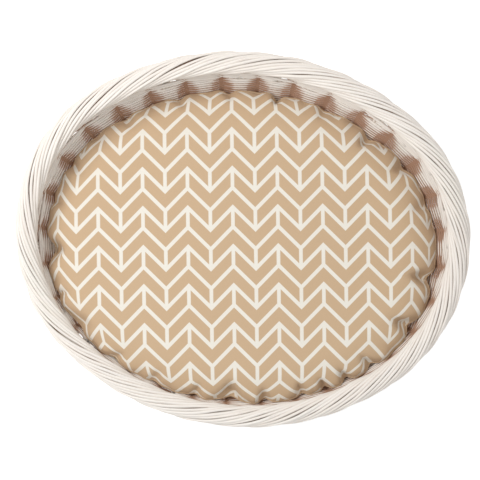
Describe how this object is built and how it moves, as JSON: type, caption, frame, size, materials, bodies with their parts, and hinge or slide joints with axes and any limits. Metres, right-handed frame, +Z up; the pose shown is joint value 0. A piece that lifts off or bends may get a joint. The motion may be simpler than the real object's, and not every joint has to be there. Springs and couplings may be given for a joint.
{
  "type": "wicker pet bed basket",
  "caption": "Oval white-painted willow pet bed with a rolled rope-like border, a low front, a high back and a loose zipped cushion.",
  "frame": {"origin": "on the floor under the middle of the basket's bounding box", "axes": "+X along the length, +Y from the low front to the high back, +Z up"},
  "size_m": [0.6095, 0.5029, 0.1812],
  "materials": {
    "painted_willow": "white paint worn thin, with brown willow in the hollows",
    "bare_willow": "bare brown willow under thin white paint",
    "printed_cloth": "tan woven cloth with a cream zigzag print",
    "fibre_filling": "white fibre",
    "zip_tape": "beige tape with nylon teeth",
    "zip_metal": "nickel"
  },
  "bodies": {
    "basket": {"stake_01": "painted_willow", "stake_02": "painted_willow", "stake_03": "painted_willow", "stake_04": "painted_willow", "stake_05": "painted_willow", "stake_06": "painted_willow", "stake_07": "painted_willow", "stake_08": "painted_willow", "stake_09": "painted_willow", "stake_10": "painted_willow", "stake_11": "painted_willow", "stake_12": "painted_willow", "stake_13": "painted_willow", "stake_14": "painted_willow", "stake_15": "painted_willow", "stake_16": "painted_willow", "stake_17": "painted_willow", "stake_18": "painted_willow", "stake_19": "painted_willow", "stake_20": "painted_willow", "stake_21": "painted_willow", "stake_22": "painted_willow", "stake_23": "painted_willow", "stake_24": "painted_willow", "stake_25": "painted_willow", "stake_26": "painted_willow", "stake_27": "painted_willow", "stake_28": "painted_willow", "stake_29": "painted_willow", "stake_30": "painted_willow", "stake_31": "painted_willow", "stake_32": "painted_willow", "base_short_stick_1": "painted_willow", "base_short_stick_2": "painted_willow", "base_short_stick_3": "painted_willow", "base_short_stick_4": "painted_willow", "base_short_stick_5": "painted_willow", "base_short_stick_6": "painted_willow", "base_short_stick_7": "painted_willow", "base_short_stick_8": "painted_willow", "base_short_stick_9": "painted_willow", "base_long_stick_front": "painted_willow", "base_long_stick_middle": "painted_willow", "base_long_stick_back": "painted_willow", "foot_wale": "painted_willow", "base_weave": "painted_willow", "side_weave": "painted_willow", "packing_weave": "painted_willow", "top_wale": "painted_willow", "border_core": "bare_willow"},
    "cushion": {"cushion_filling": "fibre_filling", "cushion_top_panel": "printed_cloth", "cushion_bottom_panel": "printed_cloth", "zip_tape_front": "zip_tape", "zip_tape_back": "zip_tape"},
    "slider": {"zip_slider": "zip_metal"},
    "pull": {"zip_pull": "zip_metal"}
  },
  "joints": [
    {"name": "cushion_lift", "type": "slide", "parent": "basket", "child": "cushion", "axis": [0, 0, 1], "range_m": [0, 0.2]},
    {"name": "zip_slide", "type": "slide", "parent": "cushion", "child": "slider", "axis": [-1, 0, 0], "range_m": [0, 0.264]},
    {"name": "pull_hinge", "type": "hinge", "parent": "slider", "child": "pull", "pos_m": [0.133, -0.0067, 0.0202], "axis": [0, 1, 0], "range_deg": [-7, 0]}
  ]
}
